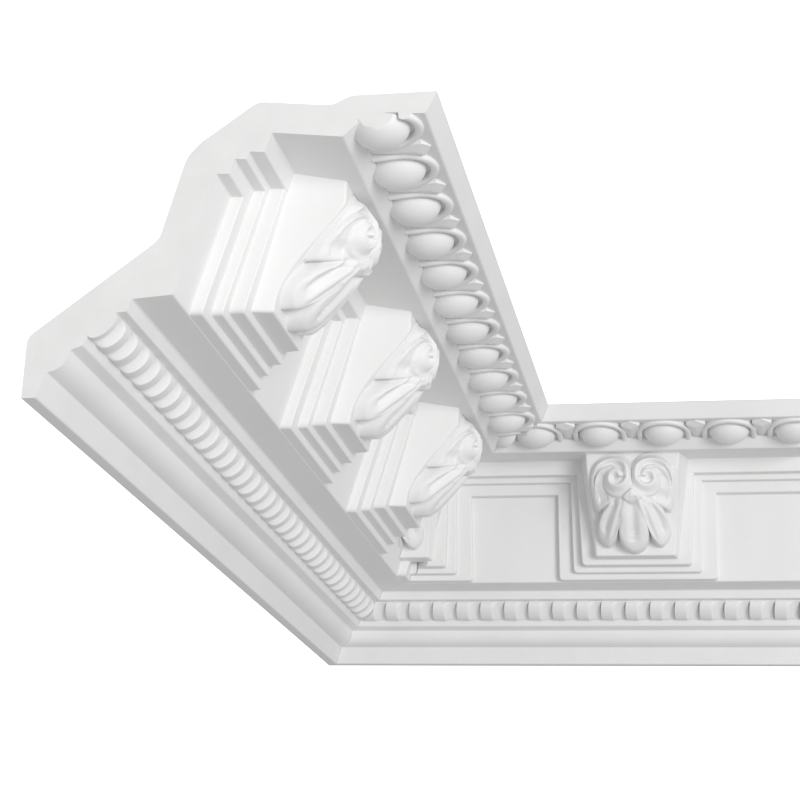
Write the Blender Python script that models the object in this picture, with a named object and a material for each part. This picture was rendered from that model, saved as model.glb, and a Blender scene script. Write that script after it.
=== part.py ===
# Modillion cornice in two cast lengths, mitred where they meet in an inside corner.
# The section stands on u, the distance out from the wall, and v, the height below the ceiling;
# a length runs along t, measured from the corner.  Metres, +Z up.

import math

import bmesh
import bpy
from mathutils import Vector

# Lengths along the walls, measured from the room's inside corner.
LEFT_LENGTH = 0.7334
RIGHT_LENGTH = 0.4060
MITRE_GAP = 0.0003

# Members of the face, from the wall up to the ceiling edge: how far each runs out and rises.
FACE_MEMBERS = {
    "lower_edge": (0.0079, 0.0),
    "base_fascia": (0.0050, 0.0138),
    "base_ovolo": (0.0113, 0.0119),
    "base_step": (0.0067, 0.0023),
    "base_fillet": (0.0018, 0.0049),
    "bead_bed": (0.0151, 0.0128),
    "bead_ledge": (0.0053, 0.0003),
    "bead_cap": (0.0024, 0.0069),
    "frieze_underside": (0.0218, 0.0017),
    "frieze": (0.0189, 0.0675),
    "first_step": (0.0070, -0.0003),
    "first_band": (0.0024, 0.0086),
    "second_step": (0.0063, -0.0006),
    "second_band": (0.0013, 0.0045),
    "third_step": (0.0085, -0.0009),
    "third_band": (0.0031, 0.0112),
    "soffit": (0.0384, -0.0044),
    "egg_fillet": (0.0073, 0.0072),
    "egg_sill": (-0.0003, 0.0020),
    "egg_bed": (0.0296, 0.0024),
    "crown_ledge": (0.0070, -0.0004),
    "crown_fascia": (0.0062, 0.0126),
}
BASE_OVOLO_BULGE = 0.0031
EGG_BED_BULGE = -0.0022

# Flats that bear on the wall and the ceiling, and the hollow back between them.
WALL_FLAT = 0.0334
CEILING_FLAT = 0.0471
FRIEZE_FOOT_WALL = (0.0098, 0.0313)
FRIEZE_HEAD_WALL = (0.0173, 0.0100)
BAND_WALL = (0.0200, 0.0100)
SOFFIT_INNER_WALL = (0.0085, 0.0186)
SOFFIT_OUTER_WALL = (0.0062, 0.0186)

# Modillions and the three frames that step round each of them.
MODILLION_PITCH = 0.2000
LEFT_MODILLION_FROM_END = 0.0934
RIGHT_MODILLION_FROM_CORNER = 0.2731
FRAME_HALF_WIDTHS = ((0.0641, 0.0641), (0.0530, 0.0517), (0.0471, 0.0439))
FRAME_FEET = (0.0003, 0.0046, 0.0085)
BLOCK_FOOT = 0.0126
BLOCK_BACK_HALF_WIDTHS = (0.0437, 0.0341)
BLOCK_FRONT_HALF_WIDTHS = (0.0375, 0.0318)
BLOCK_REACH = 0.0287
BLOCK_BEVEL_DROP = 0.0150
BLOCK_SWEEP_POWER = 1.25
BLOCK_FOOT_REACH = 0.0125
SINK = 0.0030
FLUSH = 0.00005

# Leaf on the front of a modillion.  Its right half as (across, down from the soffit, rise):
# each point of the outline, and how far the leaf's ridge or crease running to it stands up.
LEAF_OUTLINE = (
    (0.0, 0.0105, -0.0036),
    (0.0060, 0.0060, 0.0),
    (0.0158, 0.0035, 0.0),
    (0.0270, 0.0090, 0.0),
    (0.0325, 0.0190, 0.0005),
    (0.0330, 0.0300, 0.0015),
    (0.0315, 0.0390, -0.0005),
    (0.0285, 0.0460, 0.0010),
    (0.0235, 0.0450, -0.0022),
    (0.0275, 0.0530, 0.0012),
    (0.0290, 0.0600, 0.0008),
    (0.0265, 0.0670, -0.0010),
    (0.0205, 0.0715, -0.0002),
    (0.0150, 0.0675, 0.0018),
    (0.0110, 0.0560, -0.0025),
    (0.0120, 0.0640, 0.0016),
    (0.0085, 0.0725, 0.0014),
    (0.0, 0.0765, -0.0014),
)
LEAF_HEART = (0.0, 0.0360)
LEAF_RINGS = (0.3, 0.6, 0.9)
LEAF_FULL_RISE = 0.75
LEAF_RELIEF = 0.0245
LEAF_SWELL = 0.80
LEAF_SWELL_POWER = 1.5
LEAF_FALL = 0.0370
LEAF_EDGE = 0.72
SCROLL_EYE = (0.0130, 0.0250)
SCROLL_START = 0.0032
SCROLL_REACH = 0.0172
SCROLL_TURNS = 1.5
SCROLL_GROWTH = 1.8
SCROLL_STEPS = 9
SCROLL_FADE = 4.0
SCROLL_END = 0.25
SCROLL_HALF_WIDTH = 0.0029
SCROLL_RELIEF = 0.0034
BUD_CENTRE = 0.0405
BUD_HALF_SIZE = (0.0080, 0.0055)
BUD_RELIEF = 0.0056
BLOCK_ROWS = 5

# Egg and dart, four eggs to a modillion.
EGGS_TO_A_MODILLION = 4
LEFT_EGG_FROM_END = 0.0117
RIGHT_EGG_FROM_CORNER = 0.1997
EGG_HALF_WIDTH = 0.0156
EGG_HALF_LENGTH = 0.0156
EGG_RELIEF = 0.0112
EGG_SINK = 0.0007
EGG_SEAT = 0.0106
EGG_SIDES = 8
EGG_RINGS = 6
HUSK_HALF_WIDTH = 0.0188
HUSK_CROWN = 0.0309
HUSK_RELIEF = 0.0033
HUSK_CROWN_RELIEF = 0.0028
HUSK_THICKNESS = 0.0042
HUSK_CROWN_THICKNESS = 0.0048
HUSK_FOOT = -0.0004
HUSK_STEPS = 6
DART_HALF_WIDTH = 0.0073
DART_FOOT_HALF_WIDTH = 0.0017
DART_RELIEF = 0.0026
DART_EDGE = 0.0011
DART_FOOT = 0.0006
DART_APEX = 0.0246
DART_SHOULDER = 0.0289
DART_TIP = 0.0332

# Row of lapped beads.
BEAD_PITCH = 0.02025
LEFT_BEAD_FROM_END = 0.0240
RIGHT_BEAD_FROM_CORNER = 0.1393
BEAD_WIDTH = 0.0102
BEAD_CORNER_RELIEF = 0.0043
BEAD_END_RELIEF = 0.0053
BEAD_BOW = 0.0010
BEAD_INSET = 0.0012
BEAD_EDGE = 0.0004
BEAD_SIDES = 3

ARC_STEPS = 4
RIM_FLAT = 0.45
SMOOTH_ANGLE = math.radians(32)


def clear_scene():
    for obj in list(bpy.data.objects):
        bpy.data.objects.remove(obj, do_unlink=True)


def cast_white():
    material = bpy.data.materials.new("cast_white")
    material.use_nodes = True
    shader = material.node_tree.nodes["Principled BSDF"]
    shader.inputs["Base Color"].default_value = (0.86, 0.86, 0.855, 1.0)
    shader.inputs["Roughness"].default_value = 0.55
    shader.inputs["Metallic"].default_value = 0.0
    return material


def add_mesh(name, points, faces, collection, material):
    mesh = bpy.data.meshes.new(name)
    mesh.from_pydata([tuple(point) for point in points], [], faces)
    mesh.materials.append(material)
    tidy = bmesh.new()
    tidy.from_mesh(mesh)
    bmesh.ops.recalc_face_normals(tidy, faces=tidy.faces)
    tidy.to_mesh(mesh)
    tidy.free()
    obj = bpy.data.objects.new(name, mesh)
    collection.objects.link(obj)
    return obj


def walls(low, count):
    """Faces between a closed row of count points, the first at index low, and the row after it."""
    faces = []
    for side in range(count):
        after = (side + 1) % count
        faces.append((low + side, low + after, low + after + count, low + side + count))
    return faces


def between(ends, share):
    return ends[0] + (ends[1] - ends[0]) * share


# The section.

def face_corners():
    """Corner before and after each member of the face, as (u, v), the lowest on the wall."""
    u, v = 0.0, -sum(rise for _, rise in FACE_MEMBERS.values())
    corners = {"wall": (u, v)}
    for name, (run, rise) in FACE_MEMBERS.items():
        u, v = u + run, v + rise
        corners[name] = (u, v)
    return corners


CORNERS = face_corners()
DROP = -CORNERS["wall"][1]
PROJECTION = CORNERS["crown_fascia"][0]


def bulged(start, end, bulge):
    """Points of a shallow arc between two corners, the ends left out; + bulges out of the face."""
    run, rise = end[0] - start[0], end[1] - start[1]
    chord = math.hypot(run, rise)
    out = (rise / chord, -run / chord)
    points = []
    for step in range(1, ARC_STEPS):
        share = step / ARC_STEPS
        height = 4 * bulge * share * (1 - share)
        u = start[0] + run * share + out[0] * height
        v = start[1] + rise * share + out[1] * height
        points.append((u, v))
    return points


def section_outline():
    """The whole closed section: up the face, along the ceiling flat and down the hollow back."""
    bulges = {"base_ovolo": BASE_OVOLO_BULGE, "egg_bed": EGG_BED_BULGE}
    outline = [CORNERS["wall"]]
    for name in FACE_MEMBERS:
        if name in bulges:
            outline += bulged(outline[-1], CORNERS[name], bulges[name])
        outline.append(CORNERS[name])
    outline.append((PROJECTION - CEILING_FLAT, 0.0))
    behind = (
        ("soffit", SOFFIT_OUTER_WALL),
        ("third_band", SOFFIT_INNER_WALL),
        ("first_band", BAND_WALL),
        ("frieze", FRIEZE_HEAD_WALL),
        ("frieze_underside", FRIEZE_FOOT_WALL),
    )
    for name, (inward, upward) in behind:
        corner = CORNERS[name]
        outline.append((corner[0] - inward, corner[1] + upward))
    outline.append((0.0, WALL_FLAT - DROP))
    return outline


class Bed:
    """A strip of the face that carries ornament: s runs up it from its lower corner, n stands out of it."""

    def __init__(self, lower, upper):
        self.start = CORNERS[lower]
        run, rise = CORNERS[upper][0] - self.start[0], CORNERS[upper][1] - self.start[1]
        self.length = math.hypot(run, rise)
        self.along = (run / self.length, rise / self.length)
        self.out = (rise / self.length, -run / self.length)

    def point(self, t, s, n):
        u = self.start[0] + self.along[0] * s + self.out[0] * n
        v = self.start[1] + self.along[1] * s + self.out[1] * n
        return (t, u, v)


EGG_BED = Bed("egg_sill", "egg_bed")
BEAD_BED = Bed("base_fillet", "bead_bed")


# Ornament, each as points (t, u, v) about its own centre at t = 0.

def egg():
    """Half-sunk ellipsoid whose blunt end hangs over the fillet below it."""
    points = [EGG_BED.point(0.0, EGG_SEAT - EGG_HALF_LENGTH, -EGG_SINK)]
    for ring in range(1, EGG_RINGS):
        polar = math.pi * ring / EGG_RINGS
        for side in range(EGG_SIDES):
            turn = 2 * math.pi * (side + 0.5) / EGG_SIDES
            wide = EGG_HALF_WIDTH * math.sin(polar) * math.cos(turn)
            deep = EGG_RELIEF + EGG_SINK if turn < math.pi else SINK
            high = deep * math.sin(polar) * math.sin(turn) - EGG_SINK
            points.append(EGG_BED.point(wide, EGG_SEAT - EGG_HALF_LENGTH * math.cos(polar), high))
    points.append(EGG_BED.point(0.0, EGG_SEAT + EGG_HALF_LENGTH, -EGG_SINK))
    last = len(points) - 1
    faces = []
    for side in range(EGG_SIDES):
        after = (side + 1) % EGG_SIDES
        faces.append((0, 1 + side, 1 + after))
        for ring in range(EGG_RINGS - 2):
            low, high = 1 + ring * EGG_SIDES, 1 + (ring + 1) * EGG_SIDES
            faces.append((low + side, high + side, high + after, low + after))
        top = 1 + (EGG_RINGS - 2) * EGG_SIDES
        faces.append((last, top + after, top + side))
    return points, faces


def husk():
    """Raised rim, a half-round arch over the egg's outer end with two straight legs."""
    spring = HUSK_CROWN - HUSK_HALF_WIDTH
    path = [(-HUSK_HALF_WIDTH, HUSK_FOOT, 0.0)]
    for step in range(HUSK_STEPS + 1):
        turn = math.pi * step / HUSK_STEPS
        x = -HUSK_HALF_WIDTH * math.cos(turn)
        path.append((x, spring + HUSK_HALF_WIDTH * math.sin(turn), math.sin(turn)))
    path.append((HUSK_HALF_WIDTH, HUSK_FOOT, 0.0))
    points = []
    for x, s, crown in path:
        half = between((HUSK_THICKNESS, HUSK_CROWN_THICKNESS), crown**2) / 2
        flat = half * RIM_FLAT
        crest = between((HUSK_RELIEF, HUSK_CROWN_RELIEF), crown)
        outward = Vector((x, max(s - spring, 0.0))).normalized()
        for across, n in ((-half, -SINK), (-flat, crest), (flat, crest), (half, -SINK)):
            points.append(EGG_BED.point(x + outward.x * across, s + outward.y * across, n))
    end = 4 * (len(path) - 1)
    faces = [(0, 1, 2, 3), (end + 3, end + 2, end + 1, end)]
    for low in range(0, end, 4):
        faces += walls(low, 4)
    return points, faces


def dart():
    """Wedge that widens upward to a flat lozenge, which slopes down from its apex to its tip."""
    slope = (DART_TIP - DART_SHOULDER) / (DART_TIP - DART_APEX)
    shoulder_height = between((DART_EDGE, DART_RELIEF), slope)
    rim = [
        (-DART_FOOT_HALF_WIDTH, DART_FOOT, DART_EDGE),
        (DART_FOOT_HALF_WIDTH, DART_FOOT, DART_EDGE),
        (DART_HALF_WIDTH, DART_SHOULDER, shoulder_height),
        (0.0, DART_TIP, DART_EDGE),
        (-DART_HALF_WIDTH, DART_SHOULDER, shoulder_height),
    ]
    count = len(rim)
    points = [EGG_BED.point(x, s, -SINK) for x, s, _ in rim]
    points += [EGG_BED.point(*corner) for corner in rim]
    points.append(EGG_BED.point(0.0, DART_APEX, DART_RELIEF))
    apex = 2 * count
    foot_left, foot_right, right, tip, left = range(count, apex)
    faces = [tuple(range(count))[::-1], (foot_left, foot_right, apex), (foot_right, right, apex)]
    faces += [(right, tip, left, apex), (left, foot_left, apex)]
    return points, faces + walls(0, count)


def bead():
    """Billet: half round across the bed, its two ends bowed towards the corner, higher at the far one."""
    half = BEAD_BED.length / 2 - BEAD_INSET
    points = []
    for t, relief in ((0.0, BEAD_CORNER_RELIEF), (BEAD_WIDTH, BEAD_END_RELIEF)):
        points.append(BEAD_BED.point(t, BEAD_INSET, -SINK))
        for step in range(BEAD_SIDES + 1):
            turn = math.pi * step / BEAD_SIDES
            bowed = t - BEAD_BOW * math.sin(turn)
            s = BEAD_BED.length / 2 - half * math.cos(turn)
            points.append(BEAD_BED.point(bowed, s, between((BEAD_EDGE, relief), math.sin(turn))))
        points.append(BEAD_BED.point(t, BEAD_BED.length - BEAD_INSET, -SINK))
    count = BEAD_SIDES + 3
    faces = [tuple(range(count)), tuple(range(2 * count - 1, count - 1, -1))]
    return points, faces + walls(0, count)


# Frames and modillion blocks on the frieze.

FRIEZE_LEAN = FACE_MEMBERS["frieze"][0] / FACE_MEMBERS["frieze"][1]
FRAME_STEPS = ("first_step", "second_step", "third_step")


def frame_reach(frame):
    """How far a frame's face stands out from the frieze, level with it."""
    return sum(FACE_MEMBERS[name][0] for name in FRAME_STEPS[: frame + 1])


def frieze_u(v):
    foot = CORNERS["frieze_underside"]
    return foot[0] + (v - foot[1]) * FRIEZE_LEAN


def prism(lower, upper):
    """Solid between two level rectangles, each as (half width, u of its back, u of its front, v)."""
    points = []
    for half, back, front, v in (lower, upper):
        points += [(-half, back, v), (half, back, v), (half, front, v), (-half, front, v)]
    return points, [(3, 2, 1, 0), (4, 5, 6, 7)] + walls(0, 4)


def frame_slab(frame, grown=0.0):
    """One frame behind a modillion, from its foot above the frieze underside up into its band."""
    top_half, foot_half = (half + grown for half in FRAME_HALF_WIDTHS[frame])
    head = CORNERS[FRAME_STEPS[frame]][1] + SINK
    foot = CORNERS["frieze_underside"][1] + FRAME_FEET[frame] - grown
    reach = frame_reach(frame) - FLUSH + grown
    lower = (foot_half, frieze_u(foot) - SINK, frieze_u(foot) + reach, foot)
    upper = (top_half, frieze_u(head) - SINK, frieze_u(head) + reach, head)
    return prism(lower, upper)


def block_top():
    return CORNERS["third_band"][1]


def block_height():
    return block_top() - CORNERS["frieze_underside"][1] - BLOCK_FOOT


def block_front(down):
    """u of the block's front this far below the soffit: upright, then swept back to the foot."""
    top_u = CORNERS["third_band"][0] + BLOCK_REACH
    foot_u = frieze_u(block_top() - block_height()) + frame_reach(2) + BLOCK_FOOT_REACH
    sweep = max(down - BLOCK_BEVEL_DROP, 0.0) / (block_height() - BLOCK_BEVEL_DROP)
    return top_u + (foot_u - top_u) * math.sin(math.pi / 2 * min(sweep, 1.0)) ** BLOCK_SWEEP_POWER


def block():
    """Tapered block with a swept front; its back is sunk in the third frame."""
    points = []
    for row in range(BLOCK_ROWS + 1):
        share = row / BLOCK_ROWS
        down = share * block_height()
        v = block_top() - down
        lift = SINK if row == 0 else 0.0
        front = between(BLOCK_FRONT_HALF_WIDTHS, share)
        back = between(BLOCK_BACK_HALF_WIDTHS, share)
        u_front, u_back = block_front(down), frieze_u(v) + frame_reach(2) - SINK
        points += [(-back, u_back, v + lift), (back, u_back, v + lift)]
        points += [(front, u_front, v + lift), (-front, u_front, v + lift)]
    last = 4 * BLOCK_ROWS
    faces = [(3, 2, 1, 0), (last, last + 1, last + 2, last + 3)]
    for low in range(0, last, 4):
        faces += walls(low, 4)
    return points, faces


def swelling(x, down):
    """Height of the leaf's broad swelling over the block: an arch down it, falling off sideways."""
    share = min(max(down / block_height(), 0.0), 1.0)
    arch = math.sin(math.pi * LEAF_SWELL * share) ** LEAF_SWELL_POWER
    return LEAF_RELIEF * arch * (1.0 - (x / LEAF_FALL) ** 2)


def on_leaf(x, down, height):
    """Point (t, u, v) this far above the swelling."""
    return (x, block_front(down) + swelling(x, down) + height, block_top() - down)


def leaf_body():
    """Fan of ridges and creases from the leaf's heart to its lobed outline."""
    mirrored = [(-x, down, rise) for x, down, rise in LEAF_OUTLINE[-2:0:-1]]
    outline = list(LEAF_OUTLINE) + mirrored
    count = len(outline)
    points = [on_leaf(*LEAF_HEART, 0.0)]
    for ring in LEAF_RINGS:
        for x, down, rise in outline:
            ring_x = x * ring
            ring_down = LEAF_HEART[1] + (down - LEAF_HEART[1]) * ring
            grown = math.sin(math.pi / 2 * min(ring / LEAF_FULL_RISE, 1.0))
            points.append(on_leaf(ring_x, ring_down, rise * grown))
    for share in (LEAF_EDGE, None):
        for x, down, rise in outline:
            height = -SINK if share is None else share * swelling(x, down) + rise
            points.append((x, block_front(down) + height, block_top() - down))
    foot = 1 + (len(LEAF_RINGS) + 1) * count
    faces = [tuple(range(foot, foot + count))]
    faces += [(0, 1 + (side + 1) % count, 1 + side) for side in range(count)]
    for low in range(1, foot, count):
        faces += walls(low, count)
    return points, faces


def scroll(side):
    """Roll that winds out from its eye over the top of the leaf; side is 1 or -1."""
    points = []
    for step in range(SCROLL_STEPS + 1):
        share = step / SCROLL_STEPS
        turn = 2 * math.pi * SCROLL_TURNS * share
        fade = min(1.0, SCROLL_FADE * (1.0 - share) + SCROLL_END)
        centre = between((SCROLL_START, SCROLL_REACH), share**SCROLL_GROWTH)
        half, flat = SCROLL_HALF_WIDTH * fade, SCROLL_HALF_WIDTH * fade * RIM_FLAT
        crest = SCROLL_RELIEF * fade
        for across, height in ((-half, -SINK), (-flat, crest), (flat, crest), (half, -SINK)):
            x = SCROLL_EYE[0] - (centre + across) * math.cos(turn)
            down = SCROLL_EYE[1] - (centre + across) * math.sin(turn)
            points.append(on_leaf(side * x, down, height))
    last = 4 * SCROLL_STEPS
    faces = [(0, 1, 2, 3), (last + 3, last + 2, last + 1, last)]
    for low in range(0, last, 4):
        faces += walls(low, 4)
    return points, faces


def bud():
    """Four-sided bud where the two scrolls part."""
    wide, high = BUD_HALF_SIZE
    ring = ((-wide, BUD_CENTRE), (0.0, BUD_CENTRE + high), (wide, BUD_CENTRE), (0.0, BUD_CENTRE - high))
    points = [on_leaf(x, down, BUD_RELIEF / 4) for x, down in ring]
    points += [on_leaf(x, down, -SINK) for x, down in ring]
    points.append(on_leaf(0.0, BUD_CENTRE, BUD_RELIEF))
    faces = [(7, 6, 5, 4)]
    for side in range(4):
        after = (side + 1) % 4
        faces += [(side, after, 8), (side + 4, after + 4, after, side)]
    return points, faces


# A length: the section run out, its ornament joined on, cut at the mitre and at the square end.

def left_place(t, u, v):
    return (u, -t, v)


def right_place(t, u, v):
    return (t, -u, v)


def first_before(start, pitch, limit):
    """Lowest place in a row through start, a whole number of pitches apart, above the limit."""
    return start - pitch * math.floor((start - limit) / pitch)


def along(start, pitch, low, high):
    place = first_before(start, pitch, low)
    places = []
    while place < high:
        places.append(place)
        place += pitch
    return places


def run_section(low, high):
    outline = section_outline()
    count = len(outline)
    points = [(low, u, v) for u, v in outline] + [(high, u, v) for u, v in outline]
    faces = [tuple(range(count)), tuple(range(2 * count - 1, count - 1, -1))]
    return points, faces + walls(0, count)


def envelope(length):
    """Space a length may fill: clear of the mitre plane by half the gap, and short of its square end."""
    reach = PROJECTION + 4 * BEAD_PITCH
    half_gap = MITRE_GAP / 2 * math.sqrt(2)
    points = []
    for v in (-DROP - BEAD_PITCH, BEAD_PITCH):
        points += [(-reach + half_gap, -reach, v), (reach + half_gap, reach, v)]
        points += [(length, reach, v), (length, -reach, v)]
    return points, [(3, 2, 1, 0), (4, 5, 6, 7)] + walls(0, 4)


def corner_room():
    """Space out from the frieze and under the bands of the length that crosses at the corner."""
    names = list(FACE_MEMBERS)
    face = names[names.index("frieze_underside"):names.index("third_step") + 1]
    outline = [(CORNERS[name][0] + MITRE_GAP, CORNERS[name][1] - MITRE_GAP) for name in face]
    outline += [(PROJECTION, outline[-1][1]), (PROJECTION, outline[0][1])]
    count = len(outline)
    points = [(t, 0.0, v) for t, v in outline] + [(t, PROJECTION, v) for t, v in outline]
    return points, [tuple(range(count)), tuple(range(2 * count - 1, count - 1, -1))] + walls(0, count)


def modillion_places(start, length):
    """Places of the modillions whose frames or block reach into a length."""
    margin = MODILLION_PITCH / 2
    return along(start, MODILLION_PITCH, CORNERS["frieze"][0] - margin, length + margin)


def combine(body, label, operation, operand):
    """Boolean of a body with one object or with all that a collection holds."""
    modifier = body.modifiers.new(label, "BOOLEAN")
    modifier.operation = operation
    modifier.solver = "EXACT"
    if isinstance(operand, bpy.types.Collection):
        modifier.operand_type = "COLLECTION"
        modifier.collection = operand
    else:
        modifier.object = operand


def build_length(name, place, length, starts, material, crossing=None):
    """starts are the places of one modillion, one egg and one bead along this length.

    crossing is the place of a modillion along the other length.  Where it is given, a modillion
    that meets the mitre runs on past it, up to the face of that other length.
    """
    scene = bpy.context.scene.collection
    egg_pitch = MODILLION_PITCH / EGGS_TO_A_MODILLION

    def hidden_group(label):
        group = bpy.data.collections.new(f"{name}_{label}")
        scene.children.link(group)
        group.hide_render = True
        return group

    def add(label, shape, t=0.0, group=scene, crosswise=False):
        points, faces = shape
        run = [(t + x, u, v) for x, u, v in points]
        if crosswise:
            run = [(u, x, v) for x, u, v in run]
        obj = add_mesh(f"{name}_{label}", [place(*point) for point in run], faces, group, material)
        obj.location = origin()
        obj.hide_render = True
        obj.display_type = "WIRE"
        return obj

    def add_modillion(t, group, leaf_group):
        block_body = add("block", block(), t, group)
        add("leaf", leaf_body(), t, leaf_group)
        add("scroll", scroll(1), t, leaf_group)
        add("scroll", scroll(-1), t, leaf_group)
        add("bud", bud(), t, leaf_group)
        return block_body

    ornament = hidden_group("ornament")
    corner_block = None
    for t in modillion_places(starts["modillion"], length):
        for frame in range(len(FRAME_STEPS)):
            add(f"frame_{frame}", frame_slab(frame), t, ornament)
        if t + BLOCK_BACK_HALF_WIDTHS[0] <= CORNERS["first_band"][0]:
            continue
        if crossing is None or t - BLOCK_BACK_HALF_WIDTHS[0] > block_front(0.0):
            add_modillion(t, ornament, ornament)
        else:
            corner_leaf = hidden_group("corner_leaf")
            corner_block = add_modillion(t, scene, corner_leaf)
    corner, end = CORNERS["egg_fillet"][0] - egg_pitch, length + egg_pitch
    for t in along(starts["egg"], egg_pitch, corner, end):
        add("egg", egg(), t, ornament)
        add("husk", husk(), t, ornament)
        add("dart", dart(), t + egg_pitch / 2, ornament)
    corner, end = CORNERS["base_fillet"][0] - BEAD_PITCH, length + BEAD_PITCH
    for t in along(starts["bead"], BEAD_PITCH, corner, end):
        add("bead", bead(), t, ornament)

    points, faces = run_section(-MODILLION_PITCH / 8, length + MODILLION_PITCH / 2)
    body = add_mesh(name, [place(*point) for point in points], faces, scene, material)
    body.location = origin()
    combine(body, "Ornament", "UNION", ornament)
    combine(body, "Mitre and square end", "INTERSECT", add("envelope", envelope(length)))
    if corner_block:
        crossing_frames = hidden_group("crossing_frames")
        for t in along(crossing, MODILLION_PITCH, CORNERS["frieze"][0] - MODILLION_PITCH / 2, PROJECTION):
            for frame in range(len(FRAME_STEPS)):
                add("crossing_frame", frame_slab(frame, MITRE_GAP), t, crossing_frames, crosswise=True)
        room = add("corner_room", corner_room())
        combine(room, "Frames of the other length", "DIFFERENCE", crossing_frames)
        combine(corner_block, "Leaf", "UNION", corner_leaf)
        combine(corner_block, "Room in the corner", "INTERSECT", room)
        combine(body, "Modillion past the mitre", "UNION", corner_block)
    return body


def origin():
    """The room corner as seen from the middle of the left length's ceiling flat."""
    out = PROJECTION - CEILING_FLAT / 2
    return Vector((-out, (LEFT_LENGTH + out) / 2, 0.0))


def smooth_rounds(obj):
    for polygon in obj.data.polygons:
        polygon.use_smooth = True
    obj.data.set_sharp_from_angle(angle=SMOOTH_ANGLE)


def main():
    clear_scene()
    material = cast_white()
    left_starts = {
        "modillion": LEFT_LENGTH - LEFT_MODILLION_FROM_END,
        "egg": LEFT_LENGTH - LEFT_EGG_FROM_END,
        "bead": LEFT_LENGTH - LEFT_BEAD_FROM_END,
    }
    right_starts = {
        "modillion": RIGHT_MODILLION_FROM_CORNER,
        "egg": RIGHT_EGG_FROM_CORNER,
        "bead": RIGHT_BEAD_FROM_CORNER,
    }
    left = build_length("left_length", left_place, LEFT_LENGTH, left_starts, material)
    crossing = left_starts["modillion"]
    right = build_length("right_length", right_place, RIGHT_LENGTH, right_starts, material, crossing)
    for body in (left, right):
        smooth_rounds(body)


main()
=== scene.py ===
# Finish and fine carving of a modillion cornice, two cast lengths mitred in an inside corner.
# Shapes are worked out in millimetres on t, u, v: t runs along a length from the room's corner,
# u out from the wall, v up from the ceiling plane (so v is negative).
import math

import bmesh
import bpy
import numpy as np
from mathutils import Matrix, Vector


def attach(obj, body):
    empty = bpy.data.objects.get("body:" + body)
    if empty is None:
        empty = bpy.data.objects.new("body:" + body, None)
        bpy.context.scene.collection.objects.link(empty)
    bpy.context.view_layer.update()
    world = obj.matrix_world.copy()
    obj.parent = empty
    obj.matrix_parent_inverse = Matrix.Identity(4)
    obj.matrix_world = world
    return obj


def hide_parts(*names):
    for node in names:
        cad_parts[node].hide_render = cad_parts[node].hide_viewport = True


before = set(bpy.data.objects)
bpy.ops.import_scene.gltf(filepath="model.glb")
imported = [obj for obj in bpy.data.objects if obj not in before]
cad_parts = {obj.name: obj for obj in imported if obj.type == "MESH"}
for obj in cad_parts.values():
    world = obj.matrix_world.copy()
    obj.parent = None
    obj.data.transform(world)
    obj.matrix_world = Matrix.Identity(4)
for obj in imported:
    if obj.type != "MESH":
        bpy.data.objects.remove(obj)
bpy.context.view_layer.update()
mm = 0.001
print("frame loaded:", sorted(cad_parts))


# Stage: camera, light, floor.

cameraSettings = {
    "lens": 86.895,
    "sensor": 36.0,
    "place": (0.186533, -1.162958, -0.471211),
    "turn": 11.2215,   # degrees to the left of +Y
    "rise": 18.3512,   # degrees above level
    "roll": 2.2069,
}


def makeCamera():
    """Camera that stands where the photograph was taken from."""
    turn = math.radians(cameraSettings["turn"])
    rise = math.radians(cameraSettings["rise"])
    roll = math.radians(cameraSettings["roll"])
    forward = Vector((-math.sin(turn) * math.cos(rise), math.cos(turn) * math.cos(rise), math.sin(rise)))
    level = Vector((math.cos(turn), math.sin(turn), 0.0))
    upright = level.cross(forward)
    right = level * math.cos(roll) + upright * math.sin(roll)
    up = upright * math.cos(roll) - level * math.sin(roll)
    data = bpy.data.cameras.new("photoCamera")
    data.lens = cameraSettings["lens"]
    data.sensor_width = cameraSettings["sensor"]
    data.clip_end = 50.0
    camera = bpy.data.objects.new("photoCamera", data)
    turned = Matrix((right, up, -forward)).transposed().to_4x4()
    camera.matrix_world = Matrix.Translation(cameraSettings["place"]) @ turned
    bpy.context.scene.collection.objects.link(camera)
    bpy.context.scene.camera = camera


lightSettings = {
    "target": (0.0, 0.1, -0.08),
    "lamps": (
        # name, place, size, power
        ("key", (1.8, -2.42, -0.35), 1.3, 50.0),
    ),
    "ambient": 0.53,
    "backdrop": 1.6,
    "floorHeight": -2.0,
    "floorSize": 7.0,
    "floorTone": 0.66,
    "floorRoughness": 0.9,
}


def makeLights():
    """Disk lamps, each turned to the middle of the part."""
    target = Vector(lightSettings["target"])
    for name, place, size, power in lightSettings["lamps"]:
        data = bpy.data.lights.new(name, "AREA")
        data.shape = "DISK"
        data.size = size
        data.energy = power
        lamp = bpy.data.objects.new(name, data)
        lamp.location = place
        lamp.rotation_euler = (target - Vector(place)).to_track_quat("-Z", "Y").to_euler()
        bpy.context.scene.collection.objects.link(lamp)


def makeWorld():
    """Even white light from all round, seen by the camera as a brighter white."""
    world = bpy.data.worlds.new("paleStudio")
    world.use_nodes = True
    nodes, links = world.node_tree.nodes, world.node_tree.links
    nodes.clear()
    seen = nodes.new("ShaderNodeBackground")
    seen.inputs["Strength"].default_value = lightSettings["backdrop"]
    soft = nodes.new("ShaderNodeBackground")
    soft.inputs["Strength"].default_value = lightSettings["ambient"]
    for background in (seen, soft):
        background.inputs["Color"].default_value = (1.0, 1.0, 1.0, 1.0)
    path = nodes.new("ShaderNodeLightPath")
    mix = nodes.new("ShaderNodeMixShader")
    out = nodes.new("ShaderNodeOutputWorld")
    links.new(path.outputs["Is Camera Ray"], mix.inputs["Fac"])
    links.new(soft.outputs["Background"], mix.inputs[1])
    links.new(seen.outputs["Background"], mix.inputs[2])
    links.new(mix.outputs["Shader"], out.inputs["Surface"])
    bpy.context.scene.world = world
    bpy.context.scene.view_settings.view_transform = "Standard"


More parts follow.
